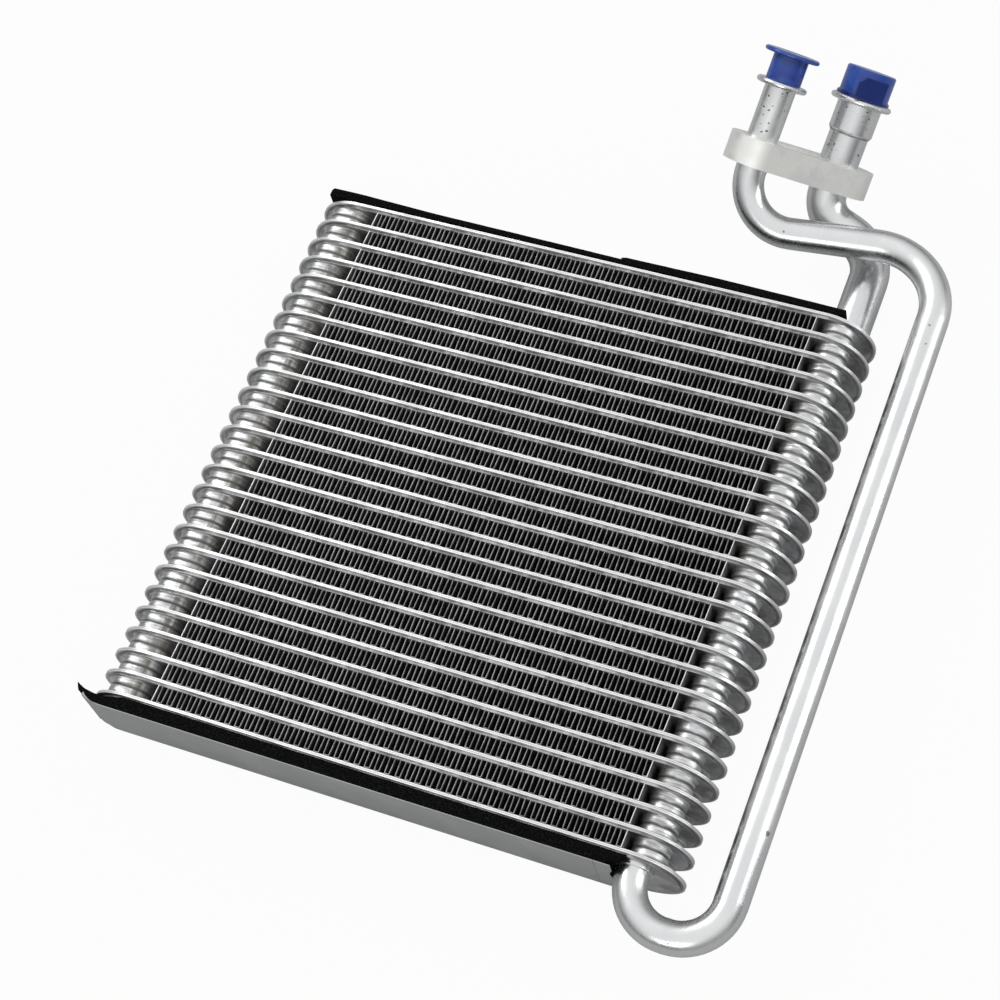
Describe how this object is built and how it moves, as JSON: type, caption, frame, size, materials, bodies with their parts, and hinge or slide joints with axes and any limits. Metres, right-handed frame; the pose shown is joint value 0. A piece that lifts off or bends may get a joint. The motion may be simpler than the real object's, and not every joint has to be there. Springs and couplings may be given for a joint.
{
  "type": "evaporator core",
  "caption": "Brazed aluminium air-conditioning evaporator core: flat tubes with drawn cups, corrugated fins, two bent pipes in a joint block, foam seals and shipping caps.",
  "frame": {"origin": "under the middle of the whole part's bounding box, on the plane of the core's back edges", "axes": "+X along the flat tubes towards the pipe side, +Y up the stack of tubes towards the joint block, +Z from the back face to the front face, along the air flow"},
  "size_m": [0.2648, 0.3654, 0.0813],
  "materials": {
    "tube_plates": "bright satin",
    "fins": "dark coated, light cut edges",
    "foam": "matte closed-cell foam",
    "foam_film": "matte grey backing film",
    "pipes": "satin drawn tube",
    "block": "satin machined extrusion",
    "caps": "blue moulded polyethylene"
  },
  "bodies": {
    "root": {"tube_01": "tube_plates", "tube_02": "tube_plates", "tube_03": "tube_plates", "tube_04": "tube_plates", "tube_05": "tube_plates", "tube_06": "tube_plates", "tube_07": "tube_plates", "tube_08": "tube_plates", "tube_09": "tube_plates", "tube_10": "tube_plates", "tube_11": "tube_plates", "tube_12": "tube_plates", "tube_13": "tube_plates", "tube_14": "tube_plates", "tube_15": "tube_plates", "tube_16": "tube_plates", "tube_17": "tube_plates", "tube_18": "tube_plates", "tube_19": "tube_plates", "tube_20": "tube_plates", "tube_21": "tube_plates", "tube_22": "tube_plates", "tube_23": "tube_plates", "tube_24": "tube_plates", "tube_25": "tube_plates", "tube_26": "tube_plates", "fin_01": "fins", "fin_02": "fins", "fin_03": "fins", "fin_04": "fins", "fin_05": "fins", "fin_06": "fins", "fin_07": "fins", "fin_08": "fins", "fin_09": "fins", "fin_10": "fins", "fin_11": "fins", "fin_12": "fins", "fin_13": "fins", "fin_14": "fins", "fin_15": "fins", "fin_16": "fins", "fin_17": "fins", "fin_18": "fins", "fin_19": "fins", "fin_20": "fins", "fin_21": "fins", "fin_22": "fins", "fin_23": "fins", "fin_24": "fins", "fin_25": "fins", "top_foam_left": "foam", "top_foam_right": "foam", "bottom_foam": "foam", "bottom_foam_film": "foam_film", "liquid_pipe": "pipes", "suction_pipe": "pipes", "joint_block": "block", "liquid_cap": "caps", "suction_cap": "caps"}
  },
  "joints": []
}
